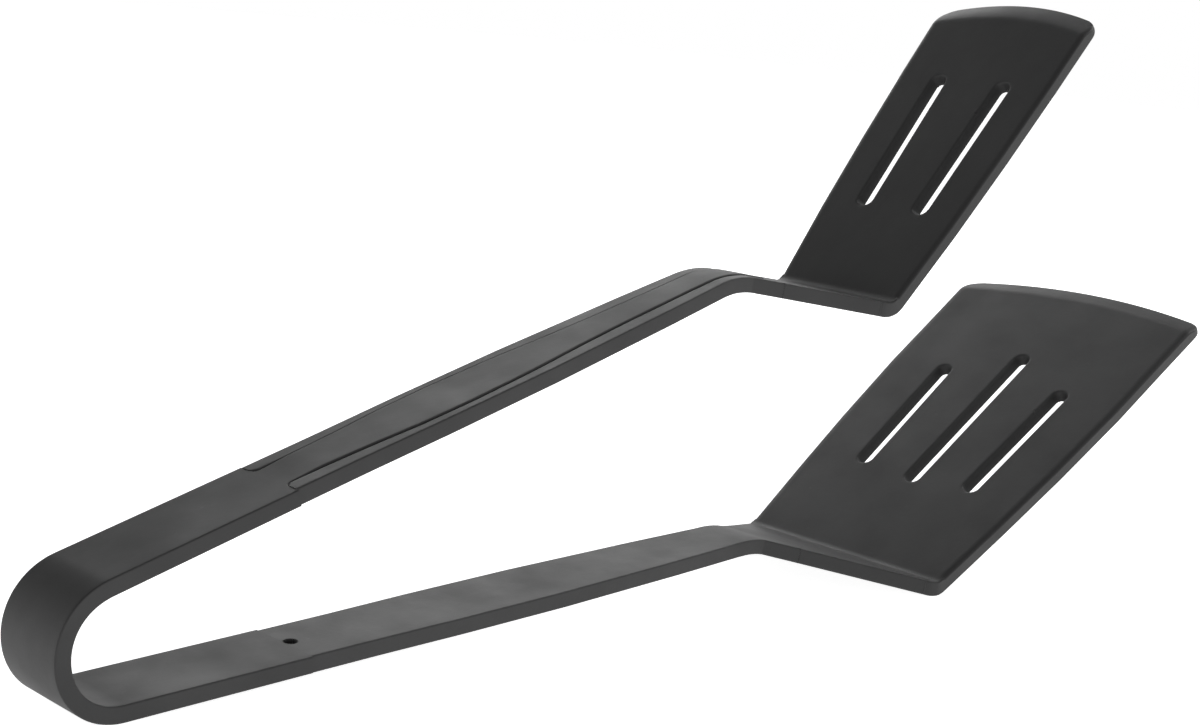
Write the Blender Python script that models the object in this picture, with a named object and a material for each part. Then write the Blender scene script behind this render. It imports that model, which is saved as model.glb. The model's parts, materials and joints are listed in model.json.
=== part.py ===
"""Spring loaded spatula tongs: two slotted turners on a U-shaped spring bow.

Built first in the frame of the bow (bow centre at the origin, +X half way
between the arms, +Z the way the arms open), then turned so that the bow and
the heel of the wide blade stand on z = 0.
"""
import math

import bmesh
import bpy
from mathutils import Matrix, Vector

MM = 0.001

# arms and bow
HALF_ANGLE = math.radians(6.95)      # each arm to the middle plane
BOW_OUT = 13.6                       # outer face of the bow from its centre
BOW_IN = 10.3
BOW_IN_SWELL = 0.3                   # the bow's inner face is wider at its back
BOW_SWELL = 0.3                      # the bow is thicker at its back
BOW_HALF_W = 9.2
SEAM = 40.0                          # bow ends and arms begin, along an arm
GAP = 0.3                            # running gap between touching pieces
ARM_IN = 10.2
ARM_OUT = 13.7                       # ledge beside the cover strip
STRIP_TOP = 14.4
STRIP_BED = 12.8
CORE_IN = 11.3                       # steel core inside bow and arms
CORE_OUT = 11.8
CORE_HALF_W = 5.0
CORE_TAIL = 60.0
CORE_PLAY = 0.25
PIN_AT = 41.4
PIN_R = 1.2
PIN_SINK = 0.7                       # pin lies below the arm's inner face

# neck and blades: corner points (x, z) of each moulding's upper face
UPPER_BEND = (161.5, 33.2)
UPPER_ROOT = (202.5, 19.7)
UPPER_BLADE_ANGLE = math.radians(39.0)
UPPER_BLADE = 97.0
LOWER_BEND = (166.0, -30.5)
LOWER_ROOT = (205.3, -47.9)
LOWER_BLADE_ANGLE = math.radians(22.8)
LOWER_BLADE = 117.6
BEND_R = 28.0
ROOT_R = 3.6
ROOT_T = 3.5                         # neck, and the rim round each blade
WEB_T = 2.8                          # blade inside its rim
RIM_W = 2.6                          # rim under the blade's edges, and its inner slope
RIM_SLOPE = 0.8
WEB_FROM = 4.0                       # web begins past the root, and ends before the tip
WEB_RAMP = 8.0
WEB_STOP = 8.0
LIP = 6.0
LIP_T = 0.9
ARM_WIDTHS = (
    (40.0, 8.75), (56.0, 8.8), (77.0, 9.2), (105.0, 9.2), (128.0, 8.5), (140.0, 8.15),
    (152.0, 7.6), (162.0, 7.1),
)
NECK_HALF_W = 7.1
STRIP_WIDTHS = (
    (40.0, 4.9), (50.0, 5.1), (60.0, 5.6), (71.0, 6.5), (84.0, 6.8), (95.0, 6.5),
    (104.0, 6.1), (116.0, 5.1), (130.0, 4.4), (150.0, 3.9), (175.0, 3.8),
)
STRIP_END = 7.0                      # how far the strip runs past the bend
UPPER_WIDTHS = ((0.0, 17.5), (24.0, 19.7), (47.0, 21.2), (70.0, 22.3), (96.0, 23.0))
LOWER_WIDTHS = ((0.0, 29.8), (24.0, 32.2), (46.0, 34.1), (72.0, 35.7), (112.0, 36.7))
CORNER_R = 3.8
UPPER_SAG = 4.2
LOWER_SAG = 4.4
SLOT_HALF_W = 2.3
UPPER_SLOTS = ((26.0, 69.5, 8.4, 9.6), (26.0, 69.5, -8.4, -9.6))
LOWER_SLOTS = (
    (31.0, 74.5, 16.8, 18.4), (29.0, 85.0, 0.0, 0.0), (31.0, 74.5, -16.8, -18.4),
)


def interp(table, at):
    if at <= table[0][0]:
        return table[0][1]
    for (a, va), (b, vb) in zip(table, table[1:]):
        if at <= b:
            f = (at - a) / (b - a)
            return va + (vb - va) * f
    return table[-1][1]


def smooth(f):
    f = min(max(f, 0.0), 1.0)
    return f * f * (3.0 - 2.0 * f)


for old in list(bpy.data.objects):
    bpy.data.objects.remove(old, do_unlink=True)


def material(name, colour, roughness, metallic):
    mat = bpy.data.materials.new(name)
    mat.use_nodes = True
    shader = mat.node_tree.nodes["Principled BSDF"]
    shader.inputs["Base Color"].default_value = (*colour, 1.0)
    shader.inputs["Roughness"].default_value = roughness
    shader.inputs["Metallic"].default_value = metallic
    return mat


def arm_axes(side):
    """Unit vectors along an arm and outward from it (side +1 upper, -1 lower)."""
    along = Vector((math.cos(HALF_ANGLE), 0.0, side * math.sin(HALF_ANGLE)))
    out = Vector((-math.sin(HALF_ANGLE), 0.0, side * math.cos(HALF_ANGLE)))
    return along, out


def arm_point(side, along_mm, off, y=0.0):
    along, out = arm_axes(side)
    return along * along_mm + out * off + Vector((0.0, y, 0.0))


def mesh_object(name, verts, faces, mat):
    mesh = bpy.data.meshes.new(name)
    mesh.from_pydata([Vector(v) * MM for v in verts], [], faces)
    mesh.validate()
    bm = bmesh.new()
    bm.from_mesh(mesh)
    bmesh.ops.recalc_face_normals(bm, faces=bm.faces)
    bm.to_mesh(mesh)
    bm.free()
    mesh.update()
    obj = bpy.data.objects.new(name, mesh)
    bpy.context.collection.objects.link(obj)
    if mat is not None:
        mesh.materials.append(mat)
    return obj


def loft(name, loops, mat):
    """Skin through equal loops of points, each end closed by pairing its halves."""
    n = len(loops[0])
    verts = [p for loop in loops for p in loop]
    faces = []
    for i in range(len(loops) - 1):
        for j in range(n):
            a, b = i * n + j, i * n + (j + 1) % n
            faces.append((a, b, b + n, a + n))
    for base in (0, (len(loops) - 1) * n):
        for j in range(n // 2 - 1):
            faces.append((base + j, base + j + 1, base + n - 2 - j, base + n - 1 - j))
    return mesh_object(name, verts, faces, mat)


def section(half_w, low, high, edge, columns=2, rise=0.0):
    """Closed section as (y, height): low side from -y to +y, then the high side.

    With many columns the outer three on each side follow the rim, and the low
    side between the rims is higher by the rise.
    """
    across = [-(half_w - edge) + 2.0 * (half_w - edge) * j / columns for j in range(columns + 1)]
    if columns > 2:
        inner = half_w - RIM_W - RIM_SLOPE
        web = [-inner + 2.0 * inner * j / (columns - 4) for j in range(columns - 3)]
        across = [across[0], -(half_w - RIM_W)] + web + [half_w - RIM_W, across[-1]]
    lower = [(-half_w, low + edge)]
    upper = [(half_w, high - edge)]
    for j, y in enumerate(across):
        lower.append((y, low + rise if 2 <= j <= columns - 2 else low))
        upper.append((-y, high))
    lower.append((half_w, low + edge))
    upper.append((-half_w, high - edge))
    return lower + upper


def cut(target, cutter):
    cutter.hide_render = True
    cutter.display_type = "WIRE"
    mod = target.modifiers.new("cut", "BOOLEAN")
    mod.operation = "DIFFERENCE"
    mod.solver = "EXACT"
    mod.object = cutter
    bpy.context.view_layer.update()
    graph = bpy.context.evaluated_depsgraph_get()
    made = bpy.data.meshes.new_from_object(target.evaluated_get(graph))
    target.modifiers.clear()
    target.data = made
    bpy.data.objects.remove(cutter, do_unlink=True)


nylon = material("black_nylon", (0.050, 0.050, 0.052), 0.52, 0.0)
bow_nylon = material("bow_nylon", (0.056, 0.056, 0.058), 0.48, 0.0)
strip_nylon = material("strip_nylon", (0.062, 0.062, 0.064), 0.50, 0.0)
steel = material("spring_steel", (0.55, 0.55, 0.54), 0.35, 1.0)
pin_steel = material("pin_steel", (0.20, 0.20, 0.20), 0.45, 1.0)


def bow_stations(low, high, swell_low, swell_high, end):
    """Path round the bow from the upper end to the lower: (base, outward, low, high)."""
    stations = []
    along, out = arm_axes(1)
    for step in range(7):
        s = end * (1.0 - step / 6.0)
        stations.append((along * s, out, low, high))
    first = math.pi / 2.0 + HALF_ANGLE
    last = 1.5 * math.pi - HALF_ANGLE
    for step in range(1, 24):
        a = first + (last - first) * step / 24.0
        f = smooth(math.sin(math.pi * step / 24.0))
        out = Vector((math.cos(a), 0.0, math.sin(a)))
        stations.append((Vector((0.0, 0.0, 0.0)), out, low + swell_low * f, high + swell_high * f))
    along, out = arm_axes(-1)
    for step in range(7):
        stations.append((along * (end * step / 6.0), out, low, high))
    return stations


def bow_loops(stations, half_w, edge):
    loops = []
    for base, out, low, high in stations:
        loop = []
        for y, h in section(half_w, low, high, edge):
            loop.append(base + out * h + Vector((0.0, y, 0.0)))
        loops.append(loop)
    return loops


# spring bow: U-shaped nylon sleeve with a flat channel for the steel core
bow_end = SEAM - GAP / 2.0
skin = bow_loops(bow_stations(BOW_IN, BOW_OUT, BOW_IN_SWELL, BOW_SWELL, bow_end), BOW_HALF_W, 0.5)
channel = bow_loops(
    bow_stations(CORE_IN - CORE_PLAY, CORE_OUT + CORE_PLAY, 0.25, 0.25, bow_end),
    CORE_HALF_W + CORE_PLAY, 0.1,
)
n = len(skin[0])
count = len(skin)
verts = [p for loop in skin + channel for p in loop]
faces = []
for i in range(count - 1):
    for j in range(n):
        a, b = i * n + j, i * n + (j + 1) % n
        faces.append((a, b, b + n, a + n))
        c, d = a + count * n, b + count * n
        faces.append((d, c, c + n, d + n))
for j in range(n):
    a, b = j, (j + 1) % n
    faces.append((b, a, a + count * n, b + count * n))
    a, b = a + (count - 1) * n, b + (count - 1) * n
    faces.append((a, b, b + count * n, a + count * n))
bow = mesh_object("spring_bow", verts, faces, bow_nylon)

# spring core: one flat steel strip round the bow, its tails inside both arms
core = loft(
    "spring_core",
    bow_loops(bow_stations(CORE_IN, CORE_OUT, 0.25, 0.25, CORE_TAIL - 1.0), CORE_HALF_W, 0.1),
    steel,
)


def profile(side):
    """Upper face of a turner as (point, up normal, arm mm, neck part, blade mm)."""
    if side > 0:
        start, bend, root = arm_point(1, 0.0, ARM_OUT), UPPER_BEND, UPPER_ROOT
        angle, length = UPPER_BLADE_ANGLE, UPPER_BLADE
    else:
        start, bend, root = arm_point(-1, 0.0, ARM_IN), LOWER_BEND, LOWER_ROOT
        angle, length = LOWER_BLADE_ANGLE, LOWER_BLADE
    along, _ = arm_axes(side)
    neck0 = Vector((bend[0], 0.0, bend[1]))
    root0 = Vector((root[0], 0.0, root[1]))
    neck = (root0 - neck0).normalized()
    blade = Vector((math.cos(angle), 0.0, math.sin(angle)))
    # the arm's own line meets the neck's line here
    k = ((neck0 - start).cross(neck)).y / (along.cross(neck)).y
    corner = start + along * k
    neck_len = (root0 - corner).length
    rows = []

    def up(direction):
        return Vector((-direction.z, 0.0, direction.x))

    def arc(at, d0, d1, radius, steps):
        turn = math.acos(max(-1.0, min(1.0, d0.dot(d1))))
        reach = radius * math.tan(turn / 2.0)
        sign = 1.0 if d0.cross(d1).y < 0.0 else -1.0
        centre = at - d0 * reach + up(d0) * (radius * sign)
        out = []
        for q in range(steps + 1):
            a = turn * q / steps
            d = d0 * math.cos(a) + up(d0) * (math.sin(a) * sign)
            out.append((centre - up(d) * (radius * sign), d))
        return reach, out

    bend_reach, bend_arc = arc(corner, along, neck, BEND_R, 8)
    root_reach, root_arc = arc(root0, neck, blade, ROOT_R, 8)
    for s in (SEAM + GAP / 2.0, 50.0, 60.0, 70.0, 80.0, 90.0, 100.0, 112.0, 125.0, 140.0):
        rows.append((start + along * s, up(along), s, 0.0, -1.0))
    for point, d in bend_arc:
        rows.append((point, up(d), (point - start).dot(along), 0.0, -1.0))
    first = bend_reach + 2.0
    for q in range(6):
        d = first + (neck_len - root_reach - 1.5 - first) * q / 5.0
        rows.append((corner + neck * d, up(neck), 200.0, (d - first) / (neck_len - first), -1.0))
    for q, (point, d) in enumerate(root_arc):
        part = 1.0 - (root_reach / neck_len) * (1.0 - q / 8.0)
        rows.append((point, up(d), 200.0, part, -1.0))
    marks = [3.0, 4.0, 6.0, 8.0, 10.0, 12.0, 24.0, 34.0, 46.0, 58.0, 70.0]
    marks += [length - LIP - WEB_STOP * (1.0 - q / 4.0) for q in range(5)]
    marks = sorted(m for m in set(marks) if m > root_reach + 0.5)
    marks += [length - CORNER_R * math.cos(math.radians(a)) for a in (90, 60, 35, 15, 2)]
    marks = sorted(m for m in marks if m <= length)
    for u in marks:
        rows.append((root0 + blade * u, up(blade), 200.0, 1.0, u))
    return rows, blade, root0, corner, neck, length


def turner(side):
    rows, blade, root0, corner, neck, length = profile(side)
    widths = UPPER_WIDTHS if side > 0 else LOWER_WIDTHS
    sag = UPPER_SAG if side > 0 else LOWER_SAG
    loops = []
    for point, up, s, part, u in rows:
        low = -ROOT_T
        high = 0.0
        edge = 0.5
        slide = 0.0
        rise = 0.0
        if u >= 0.0:
            half = interp(widths, u)
            slide = sag * smooth((u - length + 30.0) / 30.0)
            web_end = length - LIP - WEB_STOP
            web = smooth((u - WEB_FROM) / WEB_RAMP) * (1.0 - smooth((u - web_end) / WEB_STOP))
            rise = (ROOT_T - WEB_T) * web
            if u > length - LIP:
                # the lip's bevel is on the upper face, so the lower face stays flat
                high = -(ROOT_T - LIP_T) * (u - length + LIP) / LIP
                edge = 0.3
            if u > length - CORNER_R:
                back = u - (length - CORNER_R)
                half += math.sqrt(max(CORNER_R ** 2 - back ** 2, 0.0)) - CORNER_R
        elif s < 199.0:
            half = interp(ARM_WIDTHS, s)
        else:
            half = NECK_HALF_W + (widths[0][1] - NECK_HALF_W) * part
        loop = []
        for y, h in section(half, low, high, edge, 12, rise):
            shift = -slide * (y / widths[-1][1]) ** 2
            loop.append(point + up * h + blade * shift + Vector((0.0, y, 0.0)))
        loops.append(loop)
    name = "upper_turner" if side > 0 else "lower_turner"
    body = loft(name, loops, nylon)

    # drain slots with round ends
    slots = UPPER_SLOTS if side > 0 else LOWER_SLOTS
    normal = Vector((-blade.z, 0.0, blade.x))
    for u0, u1, y0, y1 in slots:
        ring = []
        run = Vector((u1 - u0, y1 - y0, 0.0)).normalized()
        ends = ((u0 + SLOT_HALF_W, y0, math.pi / 2.0), (u1 - SLOT_HALF_W, y1, -math.pi / 2.0))
        for eu, ey, begin in ends:
            for q in range(9):
                a = begin + math.pi * q / 8.0
                du = SLOT_HALF_W * (run.x * math.cos(a) - run.y * math.sin(a))
                dy = SLOT_HALF_W * (run.y * math.cos(a) + run.x * math.sin(a))
                ring.append((eu + du, ey + dy))
        m = len(ring)
        pts = []
        for h in (-6.0, 3.0):
            for uu, yy in ring:
                pts.append(root0 + blade * uu + normal * h + Vector((0.0, yy, 0.0)))
        walls = [(j, (j + 1) % m, m + (j + 1) % m, m + j) for j in range(m)]
        walls += [tuple(range(m - 1, -1, -1)), tuple(range(m, 2 * m))]
        cut(body, mesh_object("slot_tool", pts, walls, None))

    # pocket for the steel core's tail, open at the seam
    pocket = []
    for s in (SEAM - 2.0, CORE_TAIL):
        pocket.append([
            arm_point(side, s, h, y)
            for y, h in section(CORE_HALF_W + CORE_PLAY, CORE_IN - CORE_PLAY,
                                CORE_OUT + CORE_PLAY, 0.1)
        ])
    cut(body, loft("pocket_tool", pocket, None))
    return body, rows, corner, neck


def outer_path(side, corner, neck, first, past):
    """Stations along an arm's outer face, over the bend: (point, out, arm mm)."""
    along, out = arm_axes(side)
    turn = math.acos(along.dot(neck))
    # the moulding's upper face bends at the corner: outer above, inner below
    face = ARM_OUT if side > 0 else ARM_IN
    down = Vector((along.z, 0.0, -along.x))
    centre = corner - along * (BEND_R * math.tan(turn / 2.0)) + down * BEND_R
    centre_s = centre.dot(along)
    path = []
    for s in (first, 44.0, 50.0, 60.0, 70.0, 80.0, 90.0, 100.0, 115.0, 130.0, centre_s - 2.0):
        path.append((along * s, out, s))
    for q in range(1, 7):
        a = turn * q / 6.0
        d = along * math.cos(a) + down * math.sin(a)
        up = Vector((-d.z, 0.0, d.x))
        # same offsets as on the arm, carried round the bend's centre
        path.append((centre + up * (BEND_R - face * side), up * side, centre_s + BEND_R * a))
    hub, last, s = path[-1]
    path.append((hub + neck * past, last, s + past))
    return path


def strip_loops(path, grow, low, top):
    loops = []
    for index, (base, out, s) in enumerate(path):
        half = interp(STRIP_WIDTHS, s) + grow
        if index == len(path) - 1 and grow == 0.0:
            half -= 1.2
        high = top
        if top < 20.0:
            high = top - (STRIP_TOP - BOW_OUT) * (1.0 - smooth((s - SEAM) / 10.0))
        loops.append([
            base + out * h + Vector((0.0, y, 0.0))
            for y, h in section(half, low, high, 0.2 if grow == 0.0 else 0.05)
        ])
    return loops


def drill(target, side, s, radius, low, high):
    """Round cutter through an arm, across its thickness."""
    along, out = arm_axes(side)
    pts = []
    for off in (low, high):
        for q in range(24):
            a = 2.0 * math.pi * q / 24.0
            pts.append(arm_point(side, s, off) + along * (radius * math.cos(a))
                       + Vector((0.0, radius * math.sin(a), 0.0)))
    walls = [(j, (j + 1) % 24, 24 + (j + 1) % 24, 24 + j) for j in range(24)]
    walls += [tuple(range(23, -1, -1)), tuple(range(24, 48))]
    if target is None:
        return pts, walls
    cut(target, mesh_object("drill_tool", pts, walls, None))
    return None


made = {}
for side, tag in ((-1, "lower"), (1, "upper")):
    body, rows, corner, neck = turner(side)
    # bed for the cover strip in the outer face, then the strip itself
    bed = outer_path(side, corner, neck, SEAM - 2.0, STRIP_END + GAP)
    tool = loft(tag + "_bed_tool", strip_loops(bed, GAP, STRIP_BED, 24.0), None)
    cut(body, tool)
    path = outer_path(side, corner, neck, SEAM + GAP / 2.0, STRIP_END)
    strip = loft(tag + "_cover_strip", strip_loops(path, 0.0, STRIP_BED + GAP / 2.0, STRIP_TOP),
                 strip_nylon)
    # hole and pin beside the seam
    drill(body, side, PIN_AT, PIN_R + 0.15, ARM_IN - 2.0, STRIP_BED + 1.0)
    drill(core, side, PIN_AT, PIN_R + 0.25, CORE_IN - 1.0, CORE_OUT + 1.0)
    pts, walls = drill(None, side, PIN_AT, PIN_R, ARM_IN + PIN_SINK, STRIP_BED - 0.05)
    pin = mesh_object(tag + "_locating_pin", pts, walls, pin_steel)
    for obj in (body, strip, pin):
        made[obj.name] = obj
made[bow.name] = bow
made[core.name] = core

# clean joints, then stand the tongs on the bow and the lower heel
for obj in made.values():
    bm = bmesh.new()
    bm.from_mesh(obj.data)
    bmesh.ops.remove_doubles(bm, verts=bm.verts, dist=1e-6)
    bmesh.ops.recalc_face_normals(bm, faces=bm.faces)
    bm.to_mesh(obj.data)
    bm.free()

solid = [v.co.copy() for o in made.values() for v in o.data.vertices]
rear = [c for c in solid if c.x < 0.03]
front = [c for c in solid if c.x > 0.15]
low_tilt, high_tilt = 0.0, math.radians(25.0)
for _ in range(40):
    tilt = (low_tilt + high_tilt) / 2.0
    c, s = math.cos(tilt), math.sin(tilt)
    if min(s * p.x + c * p.z for p in front) > min(s * p.x + c * p.z for p in rear):
        high_tilt = tilt
    else:
        low_tilt = tilt
turned = [Vector((c * p.x - s * p.z, p.y, s * p.x + c * p.z)) for p in solid]
mid_x = (min(p.x for p in turned) + max(p.x for p in turned)) / 2.0
base_z = min(p.z for p in turned)
place = Matrix.Translation((-mid_x, 0.0, -base_z)) @ Matrix.Rotation(-tilt, 4, "Y")
for obj in made.values():
    obj.data.transform(place)
    obj.data.update()

# each turner, strip and pin has its origin on the bow's centre line
hinge = place @ Vector((0.0, 0.0, 0.0))
for obj in made.values():
    obj.data.transform(Matrix.Translation(-hinge))
    obj.location = hinge
    for poly in obj.data.polygons:
        poly.use_smooth = False
print("hinge", [round(v, 6) for v in hinge], "tilt", round(math.degrees(tilt), 3))
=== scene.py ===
"""Spatula tongs in dark moulded nylon: two slotted turners held apart by a U-shaped spring strip."""
import json
import math

import bmesh
import bpy
from mathutils import Matrix, Vector


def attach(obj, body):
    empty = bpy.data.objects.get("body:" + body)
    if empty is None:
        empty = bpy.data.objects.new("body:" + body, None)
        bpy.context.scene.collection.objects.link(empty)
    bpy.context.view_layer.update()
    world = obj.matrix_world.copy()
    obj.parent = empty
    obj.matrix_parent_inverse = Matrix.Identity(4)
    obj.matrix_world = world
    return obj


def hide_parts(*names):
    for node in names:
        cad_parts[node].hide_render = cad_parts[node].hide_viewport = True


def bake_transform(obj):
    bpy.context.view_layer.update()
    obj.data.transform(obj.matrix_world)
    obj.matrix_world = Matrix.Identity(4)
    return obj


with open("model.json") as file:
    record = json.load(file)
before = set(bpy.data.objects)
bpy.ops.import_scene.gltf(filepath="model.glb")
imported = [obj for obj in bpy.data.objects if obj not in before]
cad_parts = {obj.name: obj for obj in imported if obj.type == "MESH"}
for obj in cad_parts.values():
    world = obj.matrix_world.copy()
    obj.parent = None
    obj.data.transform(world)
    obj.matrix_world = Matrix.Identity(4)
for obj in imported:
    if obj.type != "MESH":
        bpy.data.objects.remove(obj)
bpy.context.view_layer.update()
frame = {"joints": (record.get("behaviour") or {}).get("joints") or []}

# Turner moulding, one for each arm. It is one piece of nylon: a flat arm, a neck that dips and
# widens, and a thin slotted blade folded up from the neck's end, with a thicker rim under its
# edges. It comes out of a two-part mould with a fine matt grain and softened rims.

# Shapes are drawn in millimetres about the bow's centre line, with the middle plane between the
# arms level, then tipped up so that the bow and the heel of the wide blade stand on the table.
bow_centre = Vector(frame["joints"][0]["pos_m"])
arm_spread = math.radians(6.95)
tip_up = Matrix.Rotation(math.radians(-10.318), 4, "Y")
stand = Matrix.Translation(bow_centre) @ tip_up @ Matrix.Scale(0.001, 4)
seam = 40.0
inner_face, outer_face = 10.2, 13.7
wall, web_wall, lip_wall = 3.5, 2.8, 0.9
bend_radius, fold_radius, corner_radius = 28.0, 3.6, 3.8
neck_half_width = 7.1
bed_depth, bed_gap = 0.9, 0.17
slot_radius, slot_draft = 2.3, 1.1
pin_at, pin_hole_radius = 41.4, 1.3


def arm_directions(side):
    """Along an arm and square out of it: side is 1 for the upper arm, -1 for the lower."""
    along = Vector((math.cos(arm_spread), 0.0, side * math.sin(arm_spread)))
    outward = Vector((-math.sin(arm_spread), 0.0, side * math.cos(arm_spread)))
    return along, outward


def ease(share):
    share = min(max(share, 0.0), 1.0)
    return share * share * (3.0 - 2.0 * share)


def read_off(table, place):
    """Straight-line value between the (place, value) pairs of a table."""
    if place <= table[0][0]:
        return table[0][1]
    for (a, low), (b, high) in zip(table, table[1:]):
        if place <= b:
            return low + (high - low) * (place - a) / (b - a)
    return table[-1][1]


def upward(direction):
    return Vector((-direction.z, 0.0, direction.x))


def turner_centre_line(side, face, bend, root, blade_angle, blade_length):
    """The upper face's line from the seam to the tip as a walk: returns a function and its marks."""
    along, outward = arm_directions(side)
    start = outward * face
    dip = Vector((bend[0], 0.0, bend[1]))
    fold = Vector((root[0], 0.0, root[1]))
    neck = (fold - dip).normalized()
    blade = Vector((math.cos(blade_angle), 0.0, math.sin(blade_angle)))
    reach = (dip - start).cross(neck).y / along.cross(neck).y
    corner = start + along * reach

    def rounded(at, before, after, radius):
        turn = math.acos(before.dot(after))
        sign = 1.0 if before.cross(after).y < 0.0 else -1.0
        back = radius * math.tan(turn / 2.0)
        hub = at - before * back + upward(before) * radius * sign
        return back, turn, sign, hub

    bend_back, bend_turn, bend_sign, bend_hub = rounded(corner, along, neck, bend_radius)
    fold_back, fold_turn, fold_sign, fold_hub = rounded(fold, neck, blade, fold_radius)
    neck_run = (fold - corner).length
    d1 = reach - bend_back
    d2 = d1 + bend_radius * bend_turn
    d3 = d2 + neck_run - bend_back - fold_back
    d4 = d3 + fold_radius * fold_turn
    d5 = d4 + blade_length - fold_back

    def walk(d):
        if d < d1:
            return start + along * d, along
        if d < d2:
            a = (d - d1) / bend_radius
            run = along * math.cos(a) + upward(along) * math.sin(a) * bend_sign
            return bend_hub - upward(run) * bend_radius * bend_sign, run
        if d < d3:
            return corner + neck * (bend_back + d - d2), neck
        if d < d4:
            a = (d - d3) / fold_radius
            run = neck * math.cos(a) + upward(neck) * math.sin(a) * fold_sign
            return fold_hub - upward(run) * fold_radius * fold_sign, run
        return fold + blade * (fold_back + d - d4), blade

    return walk, {
        "bend": d1, "neck": d2, "fold": d3, "blade": d4, "tip": d5, "back": fold_back, "run": blade,
    }


def spaced(low, high, step):
    count = max(1, round((high - low) / step))
    return [low + (high - low) * i / count for i in range(count)]


strip_widths = (
    (40.0, 4.9), (50.0, 5.1), (60.0, 5.6), (71.0, 6.5), (84.0, 6.8), (95.0, 6.5),
    (104.0, 6.1), (116.0, 5.1), (130.0, 4.4), (150.0, 3.9), (175.0, 3.8),
)
arm_widths = (
    (40.0, 8.75), (56.0, 8.8), (77.0, 9.2), (105.0, 9.2), (128.0, 8.5), (140.0, 8.15),
    (152.0, 7.6), (162.0, 7.1),
)


def strip_half_width(d):
    """The strip's shoulder turns into its tongue through a small hollow corner at the seam."""
    hollow = 1.6
    half = read_off(strip_widths, d)
    if d < seam + hollow:
        half += hollow - math.sqrt(max(hollow ** 2 - (seam + hollow - max(d, seam)) ** 2, 0.0))
    return half


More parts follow.
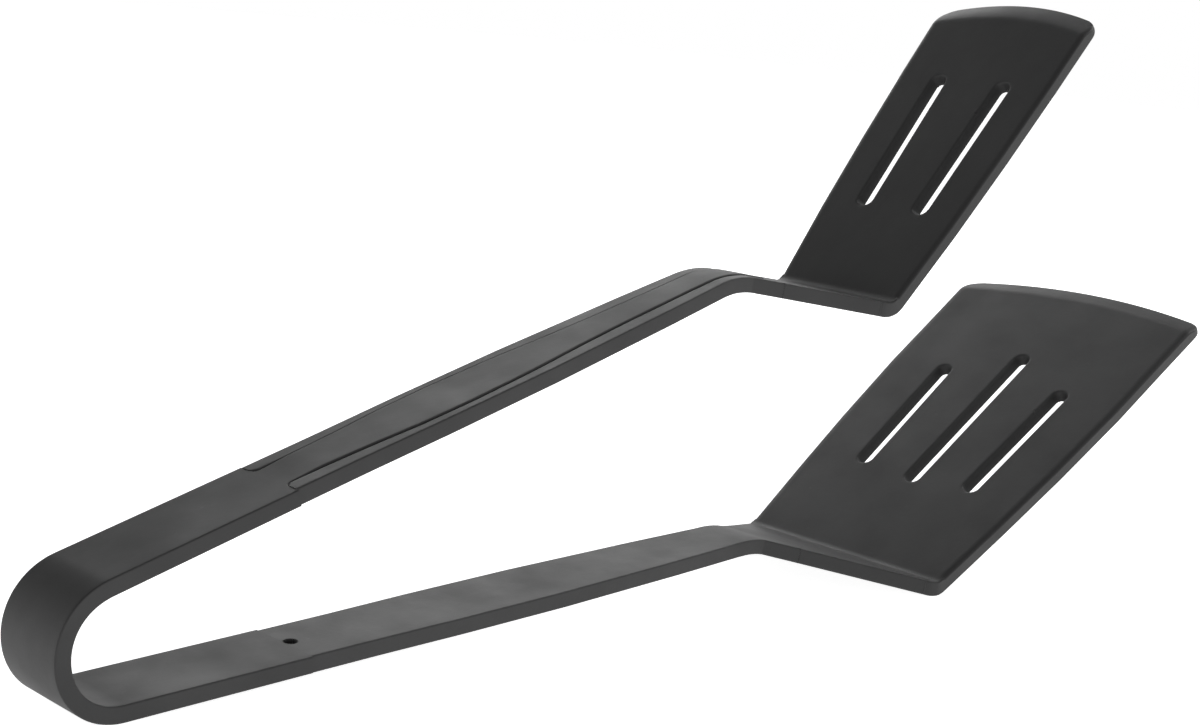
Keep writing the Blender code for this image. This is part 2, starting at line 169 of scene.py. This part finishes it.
def turner_mesh(side, bend, root, blade_angle, blade_length, blade_widths, tip_bow, slots):
    """One turner as a flat grid that is slotted, given its wall, then bent to the centre line."""
    face = outer_face if side > 0 else inner_face
    walk, mark = turner_centre_line(side, face, bend, root, blade_angle, blade_length)
    tip, fold, neck_start = mark["tip"], mark["fold"], mark["neck"]
    strip_stop = neck_start + 7.3
    rows = spaced(seam + 0.005, 45.0, 0.28) + spaced(45.0, mark["bend"], 2.4)
    rows += spaced(mark["bend"], mark["neck"], 0.9)
    rows += [strip_stop - 0.9, strip_stop, strip_stop + 0.06]
    rows += spaced(strip_stop + 1.2, fold - 1.4, 1.5)
    rows += [fold - 1.4, fold - 1.15, fold - 0.9, fold - 0.3] + spaced(fold, mark["blade"], 0.42)
    rows += spaced(mark["blade"], tip - corner_radius, 0.74)
    round_steps = (0, 12, 24, 36, 48, 60, 74, 90)
    rows += [tip - corner_radius * (1.0 - math.sin(math.radians(a))) for a in round_steps]
    rows = sorted(set(round(d, 4) for d in rows))
    half_columns, bed_columns = 48, 42

    def half_at(d):
        if d <= mark["neck"]:
            return read_off(arm_widths, d)
        if d < mark["blade"] - 1.5:
            share = (d - neck_start) / (mark["blade"] - 1.5 - neck_start)
            return neck_half_width + (blade_widths[0][1] - neck_half_width) * share
        half = read_off(blade_widths, d - mark["blade"] + mark["back"])
        left = max(d - (tip - corner_radius), 0.0)
        return half + math.sqrt(max(corner_radius ** 2 - left ** 2, 0.0)) - corner_radius

    bm = bmesh.new()
    bmesh.ops.create_grid(bm, x_segments=len(rows) - 1, y_segments=2 * half_columns, size=0.5)
    bm.verts.ensure_lookup_table()
    place = {}
    for v in bm.verts:
        d = rows[round((v.co.x + 0.5) * (len(rows) - 1))]
        column = round(v.co.y * 2 * half_columns)
        u = d - mark["blade"] + mark["back"]
        half = half_at(d)
        if abs(d - (fold - 1.15)) < 0.01:
            half -= 0.16
        bed = strip_half_width(d) + bed_gap
        bed_edge = bed + 0.05
        k = abs(column)
        if k <= bed_columns:
            arm_y = bed * k / bed_columns
        else:
            arm_y = bed_edge + (half - bed_edge) * (k - bed_columns - 1) / 5.0
        mix = ease((d - strip_stop - 0.5) / (fold - strip_stop - 3.0))
        y = (arm_y * (1.0 - mix) + half * k / half_columns * mix) * (1.0 if column >= 0 else -1.0)
        in_bed = k <= bed_columns and d <= strip_stop
        place[v] = [d, y, in_bed, u, 0.0, 0.0]
        v.co = (d, y, 0.0)

    # drain slots and the pin's hole: cells inside go, and the rim left is drawn onto the outline
    def reach_from(d, y, slot):
        a, b = Vector(slot[0:2]), Vector(slot[2:4])
        p = Vector((d, y))
        span = b - a
        share = min(max((p - a).dot(span) / max(span.length_squared, 1e-9), 0.0), 1.0)
        away = p - (a + span * share)
        return away.length - slot[4], away.normalized()

    cuts = [(pin_at, 0.0, pin_at, 0.0, pin_hole_radius)]
    root_at = mark["blade"] - mark["back"]
    for u0, u1, y0, y1 in slots:
        cuts.append((root_at + u0 + slot_radius, y0, root_at + u1 - slot_radius, y1, slot_radius))
    for slot in cuts:
        is_drain = slot[4] == slot_radius
        room = 0.6 if is_drain else 0.3
        gone = []
        for f in bm.faces:
            md = sum(place[v][0] for v in f.verts) / len(f.verts)
            my = sum(place[v][1] for v in f.verts) / len(f.verts)
            if slot[0] - 3.5 < md < slot[2] + 3.5 and reach_from(md, my, slot)[0] < 0.0:
                gone.append(f)
        bmesh.ops.delete(bm, geom=gone, context="FACES")
        for v in list(place):
            if not v.is_valid:
                del place[v]
        for v in bm.verts:
            d, y = place[v][0:2]
            if not slot[0] - 5.0 < d < slot[2] + 5.0 or d < seam + 0.02:
                continue
            off, away = reach_from(d, y, slot)
            on_rim = off < 2.0 * room and any(len(e.link_faces) == 1 for e in v.link_edges)
            shift = -off if on_rim else max(0.0, room - off)
            if on_rim and is_drain:
                place[v][4:6] = away * slot_draft
            if shift:
                place[v][0] += away.x * shift
                place[v][3] += away.x * shift
                place[v][1] += away.y * shift
                v.co = (place[v][0], place[v][1], 0.0)

    # walls: the sheet is extruded down to the moulding's thickness
    upper_side = dict(place)
    made = bmesh.ops.extrude_face_region(bm, geom=list(bm.faces) + list(bm.edges) + list(bm.verts))
    lower_verts = [g for g in made["geom"] if isinstance(g, bmesh.types.BMVert)]
    flat = {(round(v.co.x, 4), round(v.co.y, 4)): data for v, data in upper_side.items()}
    lower_place = {v: flat[(round(v.co.x, 4), round(v.co.y, 4))] for v in lower_verts}
    widest = blade_widths[-1][1]

    def settle(v, data, under):
        d, y, in_bed, u, draft_d, draft_y = data
        if under:
            d, y, u = d - draft_d, y - draft_y, u - draft_d
        point, run = walk(d)
        thick, drop, slide = wall, 0.0, 0.0
        if d >= mark["blade"]:
            inward = half_at(d) - abs(y)
            web = ease((u - 4.0) / 8.0) * ease((blade_length - 6.0 - u) / 8.0)
            thick = wall - (wall - web_wall) * web * ease((inward - 2.6) / 0.8)
            slide = -tip_bow * ease((u - blade_length + 30.0) / 30.0) * (y / widest) ** 2
            lip = max((u - blade_length + 7.0) / 7.0, 0.0)
            drop = (wall - lip_wall) * lip ** 1.35
            drop += 0.45 * max(1.0 - inward / 1.3, 0.0) ** 2 * (1.0 - lip)
        height = -thick if under else -drop
        if in_bed and (side > 0) != under:
            height += bed_depth if under else -bed_depth
        v.co = point + upward(run) * height + mark["run"] * slide + Vector((0.0, y, 0.0))

    for v, data in lower_place.items():
        settle(v, data, True)
    for v, data in upper_side.items():
        settle(v, data, False)
    bmesh.ops.recalc_face_normals(bm, faces=bm.faces)
    return bm


def soften(bm, width, sharper_than, near=None):
    """Rounds every edge that turns more than the angle, and keeps the edges left square crisp."""
    rims = []
    for e in bm.edges:
        if len(e.link_faces) == 2 and e.calc_face_angle(0.0) > math.radians(sharper_than):
            if near is None or near(e):
                rims.append(e)
    bmesh.ops.bevel(
        bm, geom=rims, offset=width, offset_type="OFFSET", segments=3, profile=0.5,
        affect="EDGES", material=-1, clamp_overlap=False,
    )
    for e in bm.edges:
        e.smooth = len(e.link_faces) != 2 or e.calc_face_angle(0.0) < math.radians(60.0)


def off_seam(e):
    """The butt joints at the bow are left crisp; only edges along the arm are rounded there."""
    a, b = (v.co for v in e.verts)
    at_seam = 37.5 < min(a.x, b.x) and max(a.x, b.x) < 40.2
    return e.calc_length() > 0.1 and not (at_seam and abs(a.x - b.x) < 0.5 * e.calc_length())


def finish_piece(name, bm, material):
    bm.transform(stand)
    mesh = bpy.data.meshes.new(name)
    bm.to_mesh(mesh)
    bm.free()
    for polygon in mesh.polygons:
        polygon.use_smooth = True
    mesh.materials.append(material)
    piece = bpy.data.objects.new(name, mesh)
    bpy.context.scene.collection.objects.link(piece)
    even = piece.modifiers.new("even_shading", "WEIGHTED_NORMAL")
    even.mode = "FACE_AREA"
    even.weight = 80
    even.keep_sharp = True
    return piece


def moulded_nylon(name, shade, roughness, grain):
    """Dark nylon: slightly mottled, with fine spark-eroded grain, flow waves and rubbed spots."""
    material = bpy.data.materials.new(name)
    material.use_nodes = True
    tree = material.node_tree
    shader = tree.nodes["Principled BSDF"]
    shader.inputs["Specular IOR Level"].default_value = 0.42
    place = tree.nodes.new("ShaderNodeTexCoord")

    def noise(scale, detail, rough=0.5, stretch=None):
        source = tree.nodes.new("ShaderNodeTexNoise")
        source.inputs["Scale"].default_value = scale
        source.inputs["Detail"].default_value = detail
        source.inputs["Roughness"].default_value = rough
        if stretch:
            drawn_out = tree.nodes.new("ShaderNodeMapping")
            drawn_out.inputs["Scale"].default_value = stretch
            tree.links.new(place.outputs["Object"], drawn_out.inputs["Vector"])
            tree.links.new(drawn_out.outputs["Vector"], source.inputs["Vector"])
        else:
            tree.links.new(place.outputs["Object"], source.inputs["Vector"])
        return source.outputs["Fac"]

    def ramp(source, low, high, dark, light):
        band = tree.nodes.new("ShaderNodeMapRange")
        band.inputs["From Min"].default_value = low
        band.inputs["From Max"].default_value = high
        band.inputs["To Min"].default_value = dark
        band.inputs["To Max"].default_value = light
        tree.links.new(source, band.inputs["Value"])
        return band.outputs["Result"]

    def blend_of(amount, first, second):
        mixer = tree.nodes.new("ShaderNodeMix")
        mixer.data_type = "RGBA"
        tree.links.new(amount, mixer.inputs[0])
        for pin, value in ((6, first), (7, second)):
            if isinstance(value, bpy.types.NodeSocket):
                tree.links.new(value, mixer.inputs[pin])
            else:
                mixer.inputs[pin].default_value = value
        return mixer.outputs[2]

    clouds = ramp(noise(34.0, 4.0), 0.32, 0.68, 0.0, 1.0)
    body = blend_of(
        clouds,
        (shade * 0.90, shade * 0.90, shade * 0.91, 1.0),
        (shade * 1.12, shade * 1.12, shade * 1.13, 1.0),
    )
    rubbed = ramp(noise(420.0, 6.0, 0.68), 0.66, 0.74, 0.0, 0.35)
    colour = blend_of(rubbed, body, (shade * 2.3, shade * 2.3, shade * 2.3, 1.0))
    tree.links.new(colour, shader.inputs["Base Color"])
    matt = ramp(noise(60.0, 5.0, 0.6), 0.3, 0.7, roughness - 0.05, roughness + 0.06)
    tree.links.new(matt, shader.inputs["Roughness"])

    fine = noise(2600.0, 3.0, 0.55)
    pits = noise(900.0, 2.0, 0.5)
    flow = noise(26.0, 2.0, 0.5, (1.0, 2.2, 1.0))
    last = None
    reliefs = ((flow, 0.10, 0.002), (pits, 0.12 * grain, 0.00012), (fine, 0.30 * grain, 0.00005))
    for height, strength, distance in reliefs:
        bump = tree.nodes.new("ShaderNodeBump")
        bump.inputs["Strength"].default_value = strength
        bump.inputs["Distance"].default_value = distance
        tree.links.new(height, bump.inputs["Height"])
        if last is not None:
            tree.links.new(last, bump.inputs["Normal"])
        last = bump.outputs["Normal"]
    tree.links.new(last, shader.inputs["Normal"])
    return material


turner_nylon = moulded_nylon("turner_nylon", 0.0205, 0.54, 1.0)

wide_line = ((166.0, -30.5), (205.3, -47.9), math.radians(22.8), 117.6)
wide = turner_mesh(
    -1, *wide_line,
    ((0.0, 29.8), (24.0, 32.2), (46.0, 34.1), (72.0, 35.7), (112.0, 36.68)), 4.42,
    ((31.0, 74.5, 16.8, 18.4), (29.0, 85.0, 0.0, 0.0), (31.0, 74.5, -16.8, -18.4)),
)
soften(wide, 0.32, 42.0, off_seam)
wide_turner = finish_piece("wide_turner_moulding", wide, turner_nylon)
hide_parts("lower_turner")
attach(wide_turner, "lower_side")

narrow_line = ((161.5, 33.2), (202.5, 19.7), math.radians(39.0), 97.0)
narrow = turner_mesh(
    1, *narrow_line,
    ((0.0, 17.5), (24.0, 19.7), (47.0, 21.2), (70.0, 22.3), (96.0, 23.0)), 4.2,
    ((26.0, 69.5, 8.4, 9.6), (26.0, 69.5, -8.4, -9.6)),
)
soften(narrow, 0.32, 42.0, off_seam)
narrow_turner = finish_piece("narrow_turner_moulding", narrow, turner_nylon)
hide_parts("upper_turner")
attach(narrow_turner, "upper_side")


# Spring strip. One long U of tougher nylon with a satin skin: full width round the bow, then a
# narrow tongue down the outside of each arm, sunk in a bed with a hairline gap round it. Its two
# halves are laid along the two turners.
strip_nylon = moulded_nylon("strip_nylon", 0.0205, 0.56, 0.7)
lower_walk, lower_mark = turner_centre_line(-1, inner_face, *wide_line)
upper_walk, upper_mark = turner_centre_line(1, outer_face, *narrow_line)


def round_the_bow(share):
    """Point on the bow's own axis line and the way out: share runs from 0 below to 1 above."""
    a = 1.5 * math.pi - arm_spread - (math.pi - 2.0 * arm_spread) * share
    return Vector((0.0, 0.0, 0.0)), Vector((math.cos(a), 0.0, math.sin(a)))


def strip_stations(tail_low, tail_high, fine):
    """Stations from one tongue's end round the bow to the other: (base, out, arm mm, swell)."""
    stations = []
    for d in reversed(fine(tail_low)):
        point, run = lower_walk(d)
        stations.append((point + upward(run) * inner_face, -upward(run), d, 0.0))
    for i in range(1, 60):
        base, out = round_the_bow(i / 60.0)
        stations.append((base, out, 0.0, ease(math.sin(math.pi * i / 60.0))))
    for d in fine(tail_high):
        point, run = upper_walk(d)
        stations.append((point - upward(run) * outer_face, upward(run), d, 0.0))
    return stations


def swept_strip(stations, half_of, high_of, low_of, columns):
    bm = bmesh.new()
    bmesh.ops.create_grid(bm, x_segments=len(stations) - 1, y_segments=columns, size=0.5)
    for v in bm.verts:
        i = round((v.co.x + 0.5) * (len(stations) - 1))
        v.co = (i, v.co.y * 2.0, 0.0)
    made = bmesh.ops.extrude_face_region(bm, geom=list(bm.faces) + list(bm.edges) + list(bm.verts))
    under = set(g for g in made["geom"] if isinstance(g, bmesh.types.BMVert))
    for v in bm.verts:
        base, out, d, swell = stations[round(v.co.x)]
        y = v.co.y * half_of(d)
        height = low_of(d, swell) if v in under else high_of(d, swell)
        v.co = base + out * height + Vector((0.0, y, 0.0))
    bmesh.ops.recalc_face_normals(bm, faces=bm.faces)
    return bm


def strip_rows(tail):
    rows = spaced(0.0, 39.0, 1.95) + [39.0, 39.6, 40.0, 40.02, 40.1, 40.25, 40.45, 40.7]
    rows += [41.0, 41.3, 41.6]
    rows += spaced(42.4, 52.0, 1.2) + spaced(52.0, 150.0, 2.4) + spaced(150.0, tail - 1.5, 0.9)
    return rows + [tail - 1.5, tail - 1.1, tail - 0.7, tail - 0.3, tail]


bow_half_width = 9.2


def strip_half(d, tail):
    """Full width round the bow, then the tongue, rounded off at its tail."""
    end_radius = 1.5
    if d <= seam:
        return bow_half_width
    half = strip_half_width(d)
    if d > tail - end_radius:
        half += math.sqrt(max(end_radius ** 2 - (d - tail + end_radius) ** 2, 0.0)) - end_radius
    return half


tail_low, tail_high = lower_mark["neck"] + 7.0, upper_mark["neck"] + 7.0
strip = swept_strip(
    strip_stations(tail_low, tail_high, strip_rows),
    lambda d: strip_half(d, min(tail_low, tail_high)),
    lambda d, swell: 13.57 + 0.29 * swell + 0.36 * ease((d - seam) / 10.0),
    lambda d, swell: inner_face + 0.4 * swell if d <= seam else 12.95,
    16,
)
soften(strip, 0.32, 50.0, off_seam)
spring_strip = finish_piece("spring_strip", strip, strip_nylon)
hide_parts("spring_bow", "lower_cover_strip", "upper_cover_strip")
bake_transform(spring_strip)

# Spring core. A flat strip of hard rolled stainless steel inside the bow, with its two tails running
# into the arms. It gives the tongs their push.
spring_steel = bpy.data.materials.new("spring_steel")
spring_steel.use_nodes = True
steel_tree = spring_steel.node_tree
steel_shader = steel_tree.nodes["Principled BSDF"]
steel_shader.inputs["Metallic"].default_value = 1.0
steel_shader.inputs["Base Color"].default_value = (0.55, 0.55, 0.54, 1.0)
steel_place = steel_tree.nodes.new("ShaderNodeTexCoord")
rolling = steel_tree.nodes.new("ShaderNodeMapping")
rolling.inputs["Scale"].default_value = (4.0, 260.0, 4.0)
rolled = steel_tree.nodes.new("ShaderNodeTexNoise")
rolled.inputs["Scale"].default_value = 12.0
rolled.inputs["Detail"].default_value = 5.0
sheen = steel_tree.nodes.new("ShaderNodeMapRange")
sheen.inputs["To Min"].default_value = 0.24
sheen.inputs["To Max"].default_value = 0.44
steel_tree.links.new(steel_place.outputs["Object"], rolling.inputs["Vector"])
steel_tree.links.new(rolling.outputs["Vector"], rolled.inputs["Vector"])
steel_tree.links.new(rolled.outputs["Fac"], sheen.inputs["Value"])
steel_tree.links.new(sheen.outputs["Result"], steel_shader.inputs["Roughness"])
core = swept_strip(
    strip_stations(59.0, 59.0, lambda tail: spaced(0.0, tail, 2.0) + [tail]),
    lambda d: 5.0,
    lambda d, swell: 11.8 + 0.25 * swell,
    lambda d, swell: 11.3 + 0.25 * swell,
    6,
)
spring_core = finish_piece("spring_core_strip", core, spring_steel)
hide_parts("spring_core")
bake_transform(spring_core)

# Locating pins. Two short dull steel pins, one in each arm beside the seam, pressed through the
# inner wall and the core. Each sits below the surface, so it shows as a small dark round recess.
pin_steel = bpy.data.materials.new("pin_steel")
pin_steel.use_nodes = True
pin_tree = pin_steel.node_tree
pin_shader = pin_tree.nodes["Principled BSDF"]
pin_shader.inputs["Metallic"].default_value = 0.8
pin_shader.inputs["Base Color"].default_value = (0.03, 0.03, 0.03, 1.0)
pin_place = pin_tree.nodes.new("ShaderNodeTexCoord")
tarnish = pin_tree.nodes.new("ShaderNodeTexNoise")
tarnish.inputs["Scale"].default_value = 900.0
dull = pin_tree.nodes.new("ShaderNodeMapRange")
dull.inputs["To Min"].default_value = 0.45
dull.inputs["To Max"].default_value = 0.7
pin_tree.links.new(pin_place.outputs["Object"], tarnish.inputs["Vector"])
pin_tree.links.new(tarnish.outputs["Fac"], dull.inputs["Value"])
pin_tree.links.new(dull.outputs["Result"], pin_shader.inputs["Roughness"])
for side, body, node in (
    (-1, "lower_side", "lower_locating_pin"),
    (1, "upper_side", "upper_locating_pin"),
):
    along, outward = arm_directions(side)
    pin = bmesh.new()
    bmesh.ops.create_cone(pin, cap_ends=True, segments=32, radius1=1.2, radius2=1.2, depth=1.7)
    rims = [e for e in pin.edges if e.calc_face_angle(0.0) > 1.0]
    bmesh.ops.bevel(pin, geom=rims, offset=0.2, segments=3, profile=0.5, affect="EDGES", material=-1)
    seat = Matrix.Translation(along * pin_at + outward * 11.85)
    tip_over = Vector((0.0, 0.0, 1.0)).rotation_difference(outward).to_matrix().to_4x4()
    pin.transform(seat @ tip_over)
    pin_piece = finish_piece(node.replace("locating_pin", "dowel"), pin, pin_steel)
    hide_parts(node)
    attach(pin_piece, body)

# Table top and studio: a plain white table that glows, so that no shadow shows on it, and a white
# room that is pale at the horizon and darker overhead. A broad soft lamp stands beyond the upper
# arm and a smaller one ahead of the blades.
floor_mesh = bmesh.new()
bmesh.ops.create_grid(floor_mesh, x_segments=1, y_segments=1, size=6.0)
table_data = bpy.data.meshes.new("table_top")
floor_mesh.to_mesh(table_data)
floor_mesh.free()
table = bpy.data.objects.new("table_top", table_data)
bpy.context.scene.collection.objects.link(table)
table_paint = bpy.data.materials.new("table_paint")
table_paint.use_nodes = True
table_shader = table_paint.node_tree.nodes["Principled BSDF"]
table_shader.inputs["Base Color"].default_value = (0.9, 0.9, 0.9, 1.0)
table_shader.inputs["Roughness"].default_value = 0.9
table_shader.inputs["Emission Color"].default_value = (1.0, 1.0, 1.0, 1.0)
table_shader.inputs["Emission Strength"].default_value = 0.9
table_data.materials.append(table_paint)

room = bpy.data.worlds.new("white_room")
room.use_nodes = True
room_tree = room.node_tree
height = room_tree.nodes.new("ShaderNodeSeparateXYZ")
fade = room_tree.nodes.new("ShaderNodeMapRange")
fade.interpolation_type = "SMOOTHSTEP"
fade.inputs["From Min"].default_value = 0.12
fade.inputs["From Max"].default_value = 0.6
fade.inputs["To Min"].default_value = 1.0
fade.inputs["To Max"].default_value = 0.22
room_way = room_tree.nodes.new("ShaderNodeTexCoord")
room_tree.links.new(room_way.outputs["Generated"], height.inputs["Vector"])
room_tree.links.new(height.outputs["Z"], fade.inputs["Value"])
room_tree.links.new(fade.outputs["Result"], room_tree.nodes["Background"].inputs["Strength"])
room_tree.nodes["Background"].inputs["Color"].default_value = (1.0, 1.0, 1.0, 1.0)
bpy.context.scene.world = room
bpy.context.scene.view_settings.view_transform = "Standard"


def lamp(name, at, aim, size, watts):
    light = bpy.data.lights.new(name, "AREA")
    light.shape = "RECTANGLE"
    light.size, light.size_y = size
    light.energy = watts
    holder = bpy.data.objects.new(name, light)
    bpy.context.scene.collection.objects.link(holder)
    holder.location = at
    holder.rotation_euler = (Vector(aim) - Vector(at)).to_track_quat("-Z", "Y").to_euler()


lamp("far_softbox", (0.55, 0.75, 0.62), (0.0, 0.0, 0.05), (0.7, 0.45), 3.1)
lamp("front_edge_lamp", (0.92, -0.22, 0.9), (0.0, 0.0, 0.05), (0.4, 0.4), 4.0)

# Camera: low, behind the bow and to its near side, looking along the arms to the blades.
camera_data = bpy.data.cameras.new("camera")
camera_data.sensor_width = 36.0
camera_data.lens = 61.22
camera_data.clip_start = 0.01
camera = bpy.data.objects.new("camera", camera_data)
bpy.context.scene.collection.objects.link(camera)
sight = Vector((0.6648, 0.6878, -0.2916)).normalized()
rightward = Vector((0.7123, -0.7012, -0.0298))
rightward = (rightward - sight * rightward.dot(sight)).normalized()
axes = Matrix((rightward, rightward.cross(sight), -sight)).transposed().to_4x4()
camera.matrix_world = Matrix.Translation(stand @ Vector((-164.13, -298.11, 146.88))) @ tip_up @ axes
bpy.context.scene.camera = camera
